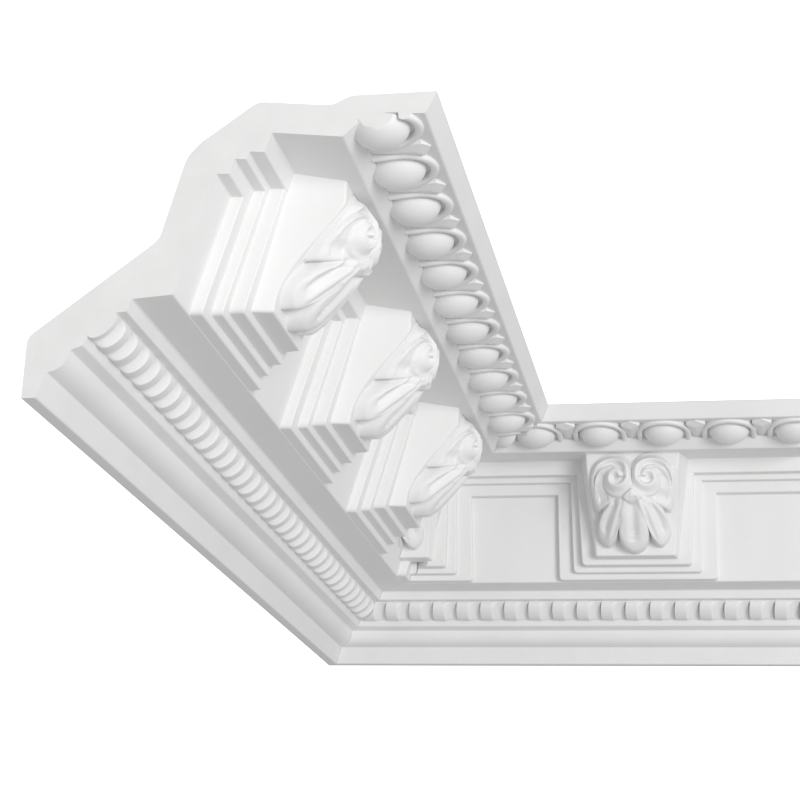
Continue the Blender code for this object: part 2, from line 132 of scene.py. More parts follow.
def makeFloor():
    """Pale floor far below the part, which throws light up at it."""
    half = lightSettings["floorSize"] / 2
    height = lightSettings["floorHeight"]
    plan = ((-half, -half), (half, -half), (half, half), (-half, half))
    mesh = bpy.data.meshes.new("floor")
    mesh.from_pydata([(x, y, height) for x, y in plan], [], [(0, 1, 2, 3)])
    material = bpy.data.materials.new("paleFloor")
    material.use_nodes = True
    shader = material.node_tree.nodes["Principled BSDF"]
    tone = lightSettings["floorTone"]
    shader.inputs["Base Color"].default_value = (tone, tone, tone, 1.0)
    shader.inputs["Roughness"].default_value = lightSettings["floorRoughness"]
    mesh.materials.append(material)
    floor = bpy.data.objects.new("floor", mesh)
    bpy.context.scene.collection.objects.link(floor)


makeCamera()
makeLights()
makeWorld()
makeFloor()
print("camera, lights and floor made")


# Node groups that the finishes share.

def newGroup(name, inputs, outputs):
    """Empty node group with its sockets, and its input and output nodes."""
    group = bpy.data.node_groups.new(name, "ShaderNodeTree")
    for label, kind, value in inputs:
        socket = group.interface.new_socket(name=label, in_out="INPUT", socket_type=kind)
        socket.default_value = value
    for label, kind in outputs:
        group.interface.new_socket(name=label, in_out="OUTPUT", socket_type=kind)
    start = group.nodes.new("NodeGroupInput")
    end = group.nodes.new("NodeGroupOutput")
    return group, group.nodes, group.links, start, end


def objectCoordinates(nodes, links, scale):
    """Object coordinates times the scale that the group is given."""
    where = nodes.new("ShaderNodeTexCoord")
    stretch = nodes.new("ShaderNodeVectorMath")
    stretch.operation = "SCALE"
    links.new(where.outputs["Object"], stretch.inputs[0])
    links.new(scale, stretch.inputs["Scale"])
    return stretch.outputs["Vector"]


def makeToneGroup():
    """Broad, faint drift between two near whites, as a sprayed primer has."""
    group, nodes, links, start, end = newGroup(
        "primerTone",
        (
            ("Thin", "NodeSocketColor", (0.80, 0.80, 0.80, 1.0)),
            ("Full", "NodeSocketColor", (0.86, 0.86, 0.86, 1.0)),
            ("Scale", "NodeSocketFloat", 14.0),
        ),
        (("Color", "NodeSocketColor"), ("Drift", "NodeSocketFloat")),
    )
    cloud = nodes.new("ShaderNodeTexNoise")
    cloud.inputs["Scale"].default_value = 1.0
    cloud.inputs["Detail"].default_value = 4.0
    cloud.inputs["Roughness"].default_value = 0.6
    links.new(objectCoordinates(nodes, links, start.outputs["Scale"]), cloud.inputs["Vector"])
    spread = nodes.new("ShaderNodeMapRange")
    spread.inputs["From Min"].default_value = 0.3
    spread.inputs["From Max"].default_value = 0.7
    links.new(cloud.outputs["Fac"], spread.inputs["Value"])
    mix = nodes.new("ShaderNodeMix")
    mix.data_type = "RGBA"
    links.new(spread.outputs["Result"], mix.inputs["Factor"])
    links.new(start.outputs["Thin"], mix.inputs["A"])
    links.new(start.outputs["Full"], mix.inputs["B"])
    links.new(mix.outputs["Result"], end.inputs["Color"])
    links.new(spread.outputs["Result"], end.inputs["Drift"])
    return group


def makeGrainGroup():
    """Fine skin of a moulding: tiny soft bumps with a sparse scatter of pinholes."""
    group, nodes, links, start, end = newGroup(
        "mouldGrain",
        (
            ("Scale", "NodeSocketFloat", 900.0),
            ("Pinholes", "NodeSocketFloat", 0.5),
        ),
        (("Height", "NodeSocketFloat"), ("Pits", "NodeSocketFloat")),
    )
    place = objectCoordinates(nodes, links, start.outputs["Scale"])
    grain = nodes.new("ShaderNodeTexNoise")
    grain.inputs["Scale"].default_value = 1.0
    grain.inputs["Detail"].default_value = 3.0
    links.new(place, grain.inputs["Vector"])
    cells = nodes.new("ShaderNodeTexVoronoi")
    cells.inputs["Scale"].default_value = 0.22
    links.new(place, cells.inputs["Vector"])
    pits = nodes.new("ShaderNodeMapRange")
    pits.inputs["From Min"].default_value = 0.05
    pits.inputs["From Max"].default_value = 0.13
    pits.inputs["To Min"].default_value = 1.0
    pits.inputs["To Max"].default_value = 0.0
    links.new(cells.outputs["Distance"], pits.inputs["Value"])
    depth = nodes.new("ShaderNodeMath")
    depth.operation = "MULTIPLY"
    links.new(pits.outputs["Result"], depth.inputs[0])
    links.new(start.outputs["Pinholes"], depth.inputs[1])
    height = nodes.new("ShaderNodeMath")
    height.operation = "SUBTRACT"
    links.new(grain.outputs["Fac"], height.inputs[0])
    links.new(depth.outputs["Value"], height.inputs[1])
    links.new(height.outputs["Value"], end.inputs["Height"])
    links.new(depth.outputs["Value"], end.inputs["Pits"])
    return group


def makeEdgeHighlightGroup():
    """Painted highlight: mask that is high along raised edges and low in creases, from how pointed the
    surface is.
    """
    group, nodes, links, start, end = newGroup(
        "paintedEdgeHighlight",
        (("Amount", "NodeSocketFloat", 0.5),),
        (("Mask", "NodeSocketFloat"),),
    )
    shape = nodes.new("ShaderNodeNewGeometry")
    spread = nodes.new("ShaderNodeMapRange")
    spread.inputs["From Min"].default_value = 0.47
    spread.inputs["From Max"].default_value = 0.56
    links.new(shape.outputs["Pointiness"], spread.inputs["Value"])
    amount = nodes.new("ShaderNodeMath")
    amount.operation = "MULTIPLY"
    links.new(spread.outputs["Result"], amount.inputs[0])
    links.new(start.outputs["Amount"], amount.inputs[1])
    links.new(amount.outputs["Value"], end.inputs["Mask"])
    return group


toneGroup = makeToneGroup()
grainGroup = makeGrainGroup()
edgeHighlightGroup = makeEdgeHighlightGroup()


def addGroup(nodes, group, values):
    """Puts a shared group in a finish and sets its inputs."""
    node = nodes.new("ShaderNodeGroup")
    node.node_tree = group
    for label, value in values.items():
        node.inputs[label].default_value = value
    return node


castFace, foamBack, sawnEnd = range(3)   # slot numbers of the finishes, in the order below
# In each finish, the brightest white and its edge amount are a painted highlight along raised edges.
finishes = {
    "castFace": {
        "thin": (0.815, 0.815, 0.812, 1.0), "full": (0.865, 0.865, 0.862, 1.0),
        "paintedHighlight": (0.90, 0.90, 0.897, 1.0),
        "toneScale": 16.0, "grainScale": 1100.0, "pinholes": 0.35, "edge": 0.55,
        "roughness": (0.42, 0.58), "bump": 0.12, "depth": 0.00012, "specular": 0.38,
    },
    "foamBack": {
        "thin": (0.70, 0.70, 0.69, 1.0), "full": (0.80, 0.80, 0.79, 1.0),
        "paintedHighlight": (0.82, 0.82, 0.81, 1.0),
        "toneScale": 22.0, "grainScale": 420.0, "pinholes": 0.9, "edge": 0.25,
        "roughness": (0.66, 0.85), "bump": 0.35, "depth": 0.0003, "specular": 0.25,
    },
    "sawnEnd": {
        "thin": (0.80, 0.80, 0.795, 1.0), "full": (0.87, 0.87, 0.865, 1.0),
        "paintedHighlight": (0.89, 0.89, 0.885, 1.0),
        "toneScale": 40.0, "grainScale": 700.0, "pinholes": 0.7, "edge": 0.3,
        "roughness": (0.60, 0.78), "bump": 0.22, "depth": 0.0002, "specular": 0.28,
    },
}


def makeFinish(name):
    """White primer: tone that drifts, raised edges made brighter by a painted highlight, and the mould's fine
    grain as bump.
    """
    values = finishes[name]
    material = bpy.data.materials.new(name)
    material.use_nodes = True
    nodes, links = material.node_tree.nodes, material.node_tree.links
    shader = nodes["Principled BSDF"]
    shader.inputs["Metallic"].default_value = 0.0
    shader.inputs["Specular IOR Level"].default_value = values["specular"]
    whites = {"Thin": values["thin"], "Full": values["full"], "Scale": values["toneScale"]}
    tone = addGroup(nodes, toneGroup, whites)
    grain = addGroup(nodes, grainGroup, {"Scale": values["grainScale"], "Pinholes": values["pinholes"]})
    edge = addGroup(nodes, edgeHighlightGroup, {"Amount": values["edge"]})
    # Painted highlight: the brighter white is mixed in where the surface is pointed, along raised edges.
    paintedHighlight = nodes.new("ShaderNodeMix")
    paintedHighlight.data_type = "RGBA"
    paintedHighlight.inputs["B"].default_value = values["paintedHighlight"]
    links.new(tone.outputs["Color"], paintedHighlight.inputs["A"])
    links.new(edge.outputs["Mask"], paintedHighlight.inputs["Factor"])
    links.new(paintedHighlight.outputs["Result"], shader.inputs["Base Color"])
    rough = nodes.new("ShaderNodeMapRange")
    rough.inputs["To Min"].default_value, rough.inputs["To Max"].default_value = values["roughness"]
    links.new(tone.outputs["Drift"], rough.inputs["Value"])
    links.new(rough.outputs["Result"], shader.inputs["Roughness"])
    bump = nodes.new("ShaderNodeBump")
    bump.inputs["Strength"].default_value = values["bump"]
    bump.inputs["Distance"].default_value = values["depth"]
    links.new(grain.outputs["Height"], bump.inputs["Height"])
    links.new(bump.outputs["Normal"], shader.inputs["Normal"])
    return material


materials = {name: makeFinish(name) for name in finishes}
print("finishes made:", ", ".join(materials))


# Every carved shape is a tube of points: rings in order, each closed on itself, with a flat cap
# on the first and the last ring.

def tubeFaces(rings, across):
    """Quads between each ring and the next, and the two end caps, as index arrays."""
    low = np.arange(rings - 1)[:, None] * across
    side = np.arange(across)[None, :]
    after = (side + 1) % across
    high = low + across
    quads = np.stack([low + side, low + after, high + after, high + side], -1).reshape(-1, 4)
    first = np.arange(across)[::-1]
    last = (rings - 1) * across + np.arange(across)
    return quads, first, last


def signedVolume(points, quads, first, last):
    """Sum of the tetrahedra between the middle of the points and each face; negative if inside out."""
    centred = points - points.mean(0)
    a, b, c, d = (centred[quads[:, i]] for i in range(4))
    total = (a * (np.cross(b, c) + np.cross(c, d))).sum()
    for cap in (first, last):
        fan = centred[cap]
        total += (fan[0] * np.cross(fan[1:-1], fan[2:])).sum()
    return total / 6.0


def tube(grid, finish=castFace, capFinish=None):
    """A shape's parts for the mesh: points, quads, caps and the finish of each, faces pointing out."""
    rings, across = grid.shape[:2]
    points = grid.reshape(-1, 3)
    quads, first, last = tubeFaces(rings, across)
    if signedVolume(points, quads, first, last) < 0.0:
        quads, first, last = quads[:, ::-1], first[::-1], last[::-1]
    quadFinish = np.full(len(quads), finish) if np.isscalar(finish) else np.tile(finish, rings - 1)
    capFinish = int(np.atleast_1d(finish)[0]) if capFinish is None else capFinish
    return {
        "points": points, "quads": quads, "caps": (first, last),
        "finish": quadFinish, "capFinish": capFinish,
    }


def moved(shape, along):
    """The same shape further along t."""
    return {**shape, "points": shape["points"] + np.array([along, 0.0, 0.0])}


lengths = {
    # From the corner: how long, and where the middle of a modillion, of an egg and a billet's end lie.
    "left": {"node": "left_length", "length": 733.4, "modillion": 640.0, "egg": 720.3, "bead": 709.4},
    "right": {"node": "right_length", "length": 406.0, "modillion": 273.1, "egg": 199.7, "bead": 139.3},
}
cornerPlace = np.array([-189.45, 461.425, 0.0])   # the room's corner in the part's frame


def placed(points, side):
    """Left: x = u, y = -t.  Right: x = t, y = -u.  Both from the room's corner, then in metres."""
    t, u, v = points.T
    if side == "left":
        x, y = u, -t
    else:
        x, y = t, -u
    return (np.stack([x, y, v], -1) + cornerPlace) * mm


cut = {
    "gap": 0.3,        # between the two lengths at the mitre
    "inside": 0.03,    # how far every cut stays inside the solid
    "weld": 1e-7,      # points closer to a cut than this, in metres, lie on it
}
mitreShift = cut["gap"] / 2 * math.sqrt(2)


def cutAway(mesh, side, start, outward, cap):
    """Takes off what lies beyond a plane, given on t, u, v, and closes the holes flat."""
    place, tip = placed(np.array([start, np.add(start, outward)], float), side)
    shell = bmesh.new()
    shell.from_mesh(mesh)
    everything = shell.verts[:] + shell.edges[:] + shell.faces[:]
    made = bmesh.ops.bisect_plane(
        shell, geom=everything, dist=cut["weld"], plane_co=place, plane_no=tip - place, clear_outer=True
    )
    rim = [part for part in made["geom_cut"] if isinstance(part, bmesh.types.BMEdge)]
    rim = [edge for edge in rim if edge.is_valid and len(edge.link_faces) == 1]
    if rim:
        for face in bmesh.ops.edgeloop_fill(shell, edges=rim)["faces"]:
            face.material_index = cap
    shell.to_mesh(mesh)
    shell.free()


def mitrePlane():
    """The plane t = u, drawn back by half the gap at the mitre."""
    return (mitreShift + cut["inside"], 0.0, 0.0), (-1.0, 1.0, 0.0)


def endPlane(side):
    """The square end of a length."""
    return (lengths[side]["length"] - cut["inside"], 0.0, 0.0), (1.0, 0.0, 0.0)


def crossingFriezePlane():
    """The face of the other length's frieze, where a modillion that runs past the mitre ends."""
    foot = corners["friezeUnderside"]
    return (foot[0] + cut["gap"], 0.0, foot[1]), (-1.0, 0.0, friezeLean)


shading = {"sharpAngle": 38.0, "flatWeight": 60}


def addPiece(name, shapes, side, replaces=None, planes=()):
    """One mesh object from many tubes, in place, cut at the planes, smooth but for its sharp edges."""
    points, corners, sizes, finish = [], [], [], []
    offset = 0
    for shape in shapes:
        points.append(placed(shape["points"], side))
        turn = -1 if side == "right" else 1
        corners.append((shape["quads"][:, ::turn] + offset).ravel())
        sizes.append(np.full(len(shape["quads"]), 4))
        finish.append(shape["finish"])
        for cap in shape["caps"]:
            corners.append(cap[::turn] + offset)
            sizes.append([len(cap)])
            finish.append([shape["capFinish"]])
        offset += len(shape["points"])
    points, corners = np.concatenate(points), np.concatenate(corners)
    sizes, finish = np.concatenate(sizes), np.concatenate(finish)
    mesh = bpy.data.meshes.new(name)
    mesh.vertices.add(len(points))
    mesh.vertices.foreach_set("co", points.astype(np.float32).ravel())
    mesh.loops.add(len(corners))
    mesh.loops.foreach_set("vertex_index", corners.astype(np.int32))
    mesh.polygons.add(len(sizes))
    starts = np.concatenate([[0], np.cumsum(sizes)[:-1]])
    mesh.polygons.foreach_set("loop_start", starts.astype(np.int32))
    mesh.polygons.foreach_set("material_index", finish.astype(np.int32))
    mesh.update(calc_edges=True)
    mesh.validate()
    for start, outward in planes:
        cutAway(mesh, side, start, outward, sawnEnd)
    for material in materials.values():
        mesh.materials.append(material)
    mesh.shade_smooth()
    mesh.set_sharp_from_angle(angle=math.radians(shading["sharpAngle"]))
    piece = bpy.data.objects.new(name, mesh)
    bpy.context.scene.collection.objects.link(piece)
    even = piece.modifiers.new("Even light on flats", "WEIGHTED_NORMAL")
    even.keep_sharp = True
    even.weight = shading["flatWeight"]
    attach(piece, "root")
    if replaces:
        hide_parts(replaces)
    triangles = sum(len(face.vertices) - 2 for face in mesh.polygons)
    print(f"{name}: {triangles} triangles")
    return piece


# The section: members from the wall up to the ceiling edge, then the hollow back.

sectionSettings = {
    "members": {
        # run out, rise, softness of the corner that it ends at
        "lowerEdge": (7.9, 0.0, 1.1),
        "baseFascia": (5.0, 13.8, 0.7),
        "baseOvolo": (11.3, 11.9, 0.8),
        "baseStep": (6.7, 2.3, 0.9),
        "baseFillet": (1.8, 4.9, 0.5),
        "beadBed": (15.1, 12.8, 0.5),
        "beadLedge": (5.3, 0.3, 0.9),
        "beadCap": (2.4, 6.9, 1.2),
        "friezeUnderside": (21.8, 1.7, 1.2),
        "frieze": (18.9, 67.5, 0.8),
        "firstStep": (7.0, -0.3, 1.2),
        "firstBand": (2.4, 8.6, 0.6),
        "secondStep": (6.3, -0.6, 0.9),
        "secondBand": (1.3, 4.5, 0.6),
        "thirdStep": (8.5, -0.9, 1.2),
        "thirdBand": (3.1, 11.2, 0.8),
        "soffit": (38.4, -4.4, 1.1),
        "eggFillet": (7.3, 7.2, 0.7),
        "eggSill": (-0.3, 2.0, 0.3),
        "eggBed": (29.6, 2.4, 0.5),
        "crownLedge": (7.0, -0.4, 1.2),
        "crownFascia": (6.2, 12.6, 0.9),
    },
    "bulges": {"baseOvolo": 3.1, "eggBed": -2.2},
    "drop": 164.0,
    "ceilingFlat": 47.1,
    "wallFlat": 33.4,
    "back": (
        # inward and upward from the corner named
        ("soffit", 6.2, 18.6), ("thirdBand", 8.5, 18.6), ("firstBand", 20.0, 10.0),
        ("frieze", 17.3, 10.0), ("friezeUnderside", 9.8, 31.3),
    ),
    "backSoftness": 4.0,
    "arcSoftness": 0.3,
    "sideShare": 0.42,           # the most of a side that the curve at its corner takes
    "cornerSteps": 5,
    "arcSteps": 14,
    "columnPitch": 20.0,
}


def sectionCorners():
    """Where each member ends, as (u, v), from the foot on the wall up to the crown."""
    u, v = 0.0, -sectionSettings["drop"]
    corners = {"wall": np.array([u, v])}
    for name, (run, rise, _) in sectionSettings["members"].items():
        u, v = u + run, v + rise
        corners[name] = np.array([u, v])
    return corners


corners = sectionCorners()
projection = corners["crownFascia"][0]


def bulgedArc(start, end, bulge):
    """Points of a shallow parabola on the chord from start to end, both ends included."""
    share = np.linspace(0.0, 1.0, sectionSettings["arcSteps"] + 1)[:, None]
    chord = end - start
    out = np.array([chord[1], -chord[0]]) / np.linalg.norm(chord)
    return start + chord * share + out * 4.0 * bulge * share * (1.0 - share)


def softenedOutline(outline, softness):
    """Each corner becomes a curve that leaves and meets its two sides at the softness given."""
    before, after = np.roll(outline, 1, 0), np.roll(outline, -1, 0)
    toBefore, toAfter = before - outline, after - outline
    nearBefore = np.linalg.norm(toBefore, axis=1, keepdims=True)
    nearAfter = np.linalg.norm(toAfter, axis=1, keepdims=True)
    longest = sectionSettings["sideShare"] * np.minimum(nearBefore, nearAfter)
    reach = np.minimum(softness[:, None], longest)
    start = outline + toBefore / nearBefore * reach
    end = outline + toAfter / nearAfter * reach
    share = np.linspace(0.0, 1.0, sectionSettings["cornerSteps"])[None, :, None]
    return (
        start[:, None] * (1 - share) ** 2
        + outline[:, None] * 2 * share * (1 - share)
        + end[:, None] * share**2
    )


def sectionOutline():
    """The soft section as one closed line of points, with the finish of the side after each point."""
    points, softness, finish = [corners["wall"]], [0.0], [castFace]
    for name, (_, _, soft) in sectionSettings["members"].items():
        if name in sectionSettings["bulges"]:
            arc = bulgedArc(points[-1], corners[name], sectionSettings["bulges"][name])[1:-1]
            points += list(arc)
            softness += [sectionSettings["arcSoftness"]] * len(arc)
            finish += [castFace] * len(arc)
        points.append(corners[name])
        softness.append(soft)
        finish.append(castFace)
    finish[-1] = foamBack
    points.append(np.array([projection - sectionSettings["ceilingFlat"], 0.0]))
    for name, inward, upward in sectionSettings["back"]:
        points.append(corners[name] + np.array([-inward, upward]))
    points.append(np.array([0.0, sectionSettings["wallFlat"] - sectionSettings["drop"]]))
    extra = len(points) - len(softness)
    softness += [sectionSettings["backSoftness"]] * extra
    finish += [foamBack] * extra
    curve = softenedOutline(np.array(points), np.array(softness))
    steps = curve.shape[1]
    return curve.reshape(-1, 2), np.repeat(finish, steps)


def sectionRun(length):
    """The section carried along t in rings; every ring is pressed back to the mitre plane."""
    outline, finish = sectionOutline()
    t = np.linspace(0.0, length, int(length / sectionSettings["columnPitch"]) + 1)
    grid = np.empty((len(t), len(outline), 3))
    grid[:, :, 0] = np.maximum(t[:, None], outline[None, :, 0] + mitreShift)
    grid[:, :, 1:] = outline[None]
    return tube(grid, finish, sawnEnd)


class Bed:
    """A strip of the face that carries ornament: s up it from its lower corner, n out of it."""

    def __init__(self, lower, upper):
        self.start = corners[lower]
        run = corners[upper] - self.start
        self.width = np.linalg.norm(run)
        self.along = run / self.width
        self.out = np.array([self.along[1], -self.along[0]])

    def grid(self, t, s, n):
        """Points of the strip on t, u, v."""
        u = self.start[0] + self.along[0] * s + self.out[0] * n
        v = self.start[1] + self.along[1] * s + self.out[1] * n
        return np.stack(np.broadcast_arrays(t, u, v), -1)


eggBed = Bed("eggSill", "eggBed")
beadBed = Bed("baseFillet", "beadBed")


# Frames: three slabs that step round each modillion, their faces parallel to the frieze.

frameSettings = {
    "steps": ("firstStep", "secondStep", "thirdStep"),
    "halfWidths": ((64.1, 64.1), (53.0, 51.7), (47.1, 43.9)),   # of each slab at its top and foot
    "feet": (0.3, 4.6, 8.5),
    "cornerRadius": 3.0,
    "edgeSoftness": 1.0,
    "edgeSteps": 5,
    "flush": 0.02,
    "sink": 3.0,
    "cornerSteps": 8,
}
friezeRun, friezeRise, _ = sectionSettings["members"]["frieze"]
friezeLean = friezeRun / friezeRise


def friezeAt(v):
    """u of the leaning frieze at this height."""
    foot = corners["friezeUnderside"]
    return foot[0] + (v - foot[1]) * friezeLean


def frameReach(index):
    """How far a slab's face stands out from the frieze."""
    steps = frameSettings["steps"][: index + 1]
    return sum(sectionSettings["members"][step][0] for step in steps)


def framePlan(index):
    """Outline on the frieze as (x, v): down one side, round the two foot corners, up the other."""
    topHalf, footHalf = frameSettings["halfWidths"][index]
    head = corners[frameSettings["steps"][index]][1] + frameSettings["sink"]
    foot = corners["friezeUnderside"][1] + frameSettings["feet"][index]
    radius = frameSettings["cornerRadius"]
    turn = np.linspace(0.0, math.pi / 2, frameSettings["cornerSteps"])
    arcX = footHalf - radius + radius * np.cos(turn)
    arcV = foot + radius - radius * np.sin(turn)
    right = np.column_stack([np.concatenate([[topHalf], arcX]), np.concatenate([[head], arcV])])
    left = right[::-1] * np.array([-1.0, 1.0])
    return np.concatenate([right, left])


def insetPlan(plan, inset):
    """Moves each point of a closed outline inwards by the inset, along the line between its sides."""
    before, after = np.roll(plan, 1, 0), np.roll(plan, -1, 0)
    sideA = (plan - before) / np.linalg.norm(plan - before, axis=1, keepdims=True)
    sideB = (after - plan) / np.linalg.norm(after - plan, axis=1, keepdims=True)
    normalA = np.column_stack([sideA[:, 1], -sideA[:, 0]])
    normalB = np.column_stack([sideB[:, 1], -sideB[:, 0]])
    middle = normalA + normalB
    middle /= (middle * normalB).sum(1, keepdims=True)
    area = (plan[:, 0] * after[:, 1] - after[:, 0] * plan[:, 1]).sum()
    return plan - middle * inset * np.sign(area)


def frameSlab(index):
    """Slab with a rounded edge, sunk in the frieze."""
    plan = framePlan(index)
    soft = frameSettings["edgeSoftness"]
    turn = np.linspace(0.0, math.pi / 2, frameSettings["edgeSteps"])
    insets = np.concatenate([soft * (1 - np.sin(turn)), [0.0]])
    reach = frameReach(index) - frameSettings["flush"]
    heights = np.concatenate([reach - soft * (1 - np.cos(turn)), [-frameSettings["sink"]]])
    rings = []
    for inset, height in zip(insets, heights):
        ring = insetPlan(plan, inset)
        rings.append(np.column_stack([ring[:, 0], friezeAt(ring[:, 1]) + height, ring[:, 1]]))
    return tube(np.array(rings))


# Modillion: a tapered block with a swept front, and a leaf with two scrolls carved on it.

blockSettings = {
    "backHalf": (43.7, 34.1),    # at the top, at the foot
    "frontHalf": (37.5, 31.8),
    "reach": 28.7,
    "upright": 15.0,             # how far down the front stays upright before it sweeps back
    "foot": 12.6,
    "footReach": 12.5,
    "sweepPower": 1.25,
    "edgeSoftness": 1.6,
    "rows": 60,
    "edgeSteps": 6,
    "cornerSteps": 6,
}


def blockTop():
    """v of the soffit that the block hangs from."""
    return corners["thirdBand"][1]


def blockHeight():
    """From the soffit down to the block's foot."""
    return blockTop() - corners["friezeUnderside"][1] - blockSettings["foot"]


def blockFront(down):
    """u of the front this far below the soffit: upright, then a quarter sine back to the foot."""
    height = blockHeight()
    topU = corners["thirdBand"][0] + blockSettings["reach"]
    footU = friezeAt(blockTop() - height) + frameReach(2) + blockSettings["footReach"]
    sweep = np.clip((down - blockSettings["upright"]) / (height - blockSettings["upright"]), 0.0, 1.0)
    return topU + (footU - topU) * np.sin(math.pi / 2 * sweep) ** blockSettings["sweepPower"]


def taper(halves, share):
    """Half width this share of the way from the top to the foot."""
    top, foot = halves
    return top + (foot - top) * share


def block():
    """Rings down the block, softened at the foot and at the two front corners."""
    height, soft, rows = blockHeight(), blockSettings["edgeSoftness"], blockSettings["rows"]
    sink = frameSettings["sink"]
    turn = np.linspace(0.0, math.pi / 2, blockSettings["edgeSteps"])
    upright = np.linspace(0.0, height - soft, rows)
    down = np.concatenate([[-sink], upright, height - soft + soft * np.sin(turn)[1:]])
    inset = np.concatenate([np.zeros(rows + 1), soft * (1 - np.cos(turn))[1:]])
    share = np.clip(down / height, 0.0, 1.0)
    front = taper(blockSettings["frontHalf"], share) - inset
    back = taper(blockSettings["backHalf"], share) - inset
    v = blockTop() - down
    uFront = blockFront(np.clip(down, 0.0, height)) - inset
    uBack = friezeAt(v) + frameReach(2) - sink
    corner = np.linspace(0.0, math.pi / 2, blockSettings["cornerSteps"])
    arcX = (front - soft)[:, None] + soft * np.sin(math.pi / 2 - corner)[None]
    arcU = (uFront - soft)[:, None] + soft * np.sin(corner)[None]
    x = np.concatenate([back[:, None], arcX, -arcX[:, ::-1], -back[:, None]], 1)
    u = np.concatenate([uBack[:, None], arcU, arcU[:, ::-1], uBack[:, None]], 1)
    return tube(np.stack([x, u, np.broadcast_to(v[:, None], x.shape)], -1))


leafSettings = {
    # Right half of the outline as (across, down from the soffit, rise of the ridge running to it).
    "outline": (
        (0.0, 10.5, -3.6), (6.0, 6.0, 0.0), (15.8, 3.5, 0.0), (27.0, 9.0, 0.0), (32.5, 19.0, 0.3),
        (33.0, 30.0, 0.8), (31.5, 39.0, 0.2), (28.5, 46.0, 0.4), (23.5, 45.0, -2.2), (27.5, 53.0, 0.6),
        (29.0, 60.0, 0.5), (26.5, 67.0, 0.0), (20.5, 71.5, 0.0), (15.0, 67.5, 0.6), (11.0, 56.0, -2.6),
        (12.0, 64.0, 0.6), (8.5, 72.5, 0.6), (0.0, 76.5, 0.0),
    ),
    "notches": (0, 8, 14),
    "creases": (0.0, 0.80, 0.52),   # how far out from the heart the rise at each notch begins
    "creaseReach": 3,               # outline points on which a notch's start still tells
    "strands": {
        # Ridges (+) and hollows (-) carved on the leaf: route (across, down), half width, height.
        "centreValley": (((0.0, 43.0), (0.0, 66.0)), 6.0, -2.8),
        "centreRim": (((4.6, 41.0), (7.4, 48.0), (9.6, 54.0)), 3.0, 1.5),
        "tipDish": (((0.0, 64.0), (0.0, 70.0)), 6.4, -1.2),
        "innerRim": (((9.0, 43.0), (13.5, 52.0), (17.5, 61.0), (20.5, 68.0)), 3.2, 1.7),
        "sideHollow": (((12.5, 41.0), (17.0, 48.0), (21.0, 55.0), (23.0, 62.0)), 3.8, -3.2),
        "outerRim": (((9.0, 41.5), (16.0, 44.0), (23.0, 48.5), (27.0, 54.0), (28.0, 60.0)), 2.8, 1.9),
        "upperHollow": (((19.0, 37.0), (27.0, 38.0)), 6.2, -2.2),
        "lobeRim": (((29.6, 30.0), (30.2, 37.0), (28.0, 44.0)), 2.6, 1.0),
    },
    "strandFade": (4.0, 0.35),      # how fast a strand fades in, and from what share
    "heart": 36.0,
    "heartShare": 0.01,
    "relief": 24.5,
    "swell": 0.80,
    "swellPower": 1.5,
    "fall": 37.0,
    "edge": 0.72,
    "edgeFrom": 0.88,
    "carvingFadesFrom": 0.9,
    "fullRise": 0.75,
    "pointsPerLobe": (110, 56, 70),
    "rings": 84,
    "sink": 3.0,
}
scrollSettings = {
    "eye": (13.0, 25.0),
    "turns": (0, 90, 180, 270, 360, 450, 540),
    "radii": (3.4, 4.3, 4.7, 6.8, 9.6, 14.6, 18.2),
    "outerWidth": 4.8,
    "innerWidth": 3.4,
    "crest": 3.6,
    "tail": (20.0, 60.0),           # degrees that the roll runs on past its last turn, and fades over
    "eyeDepth": 3.0,
    "tongue": {
        "turns": (25, 75, 105, 130, 160, 210), "radii": (4.6, 6.6, 9.0, 10.4, 13.6, 19.0),
        "width": 2.6, "crest": 2.4, "fade": 40.0,
    },
    "channel": 3.0,
    "channelMargin": 0.1,
    "step": {
        # Where the roll's outer side drops sharply on the leaf, and how deep and how far out.
        "turns": (150, 180, 220, 261, 285), "radii": (7.2, 8.0, 10.6, 13.0, 14.5),
        "depth": 2.6, "width": 0.9, "reach": 7.0, "fade": 25.0,
    },
}
budSettings = {
    "down": 40.5, "half": 8.2, "above": 7.0, "below": 4.6,
    "crest": 5.0, "edge": 5.0, "plateau": 0.55, "least": 0.3,
}
mirrorX = np.array([-1.0, 1.0, 1.0, 1.0])


def smoothRun(points, count):
    """Points spread along a curve through the given ones, in cubic pieces."""
    points = np.asarray(points, float)
    step = np.linalg.norm(np.diff(points[:, :2], axis=0), axis=1)
    place = np.concatenate([[0.0], np.cumsum(step)])
    slope = np.gradient(points, place, axis=0)
    wanted = np.linspace(0.0, place[-1], count, endpoint=False)
    index = np.clip(np.searchsorted(place, wanted, side="right") - 1, 0, len(points) - 2)
    width = (place[index + 1] - place[index])[:, None]
    share = ((wanted - place[index]) / width[:, 0])[:, None]
    return (
        points[index] * (1 + 2 * share) * (1 - share) ** 2
        + slope[index] * width * share * (1 - share) ** 2
        + points[index + 1] * share**2 * (3 - 2 * share)
        - slope[index + 1] * width * share**2 * (1 - share)
    )


def leafOutline():
    """The whole lobed outline; it is smooth along each lobe and sharp at the notches between them."""
    half = np.array(leafSettings["outline"])
    first, second, third = leafSettings["notches"]
    begins = np.zeros(len(half))
    for notch, begin in zip(leafSettings["notches"], leafSettings["creases"]):
        near = np.abs(np.arange(len(half)) - notch) / leafSettings["creaseReach"]
        begins = np.maximum(begins, begin * np.clip(1.0 - near, 0.0, 1.0))
    half = np.column_stack([half, begins])
    counts = leafSettings["pointsPerLobe"]
    upper, side = half[first : second + 1], half[second : third + 1]
    tip = np.concatenate([half[third:], (half[third:-1] * mirrorX)[::-1]])
    return np.concatenate([
        smoothRun(upper, counts[0]),
        smoothRun(side, counts[1]),
        smoothRun(tip, counts[2]),
        smoothRun(side[::-1] * mirrorX, counts[1]),
        smoothRun(upper[::-1] * mirrorX, counts[0]),
    ])


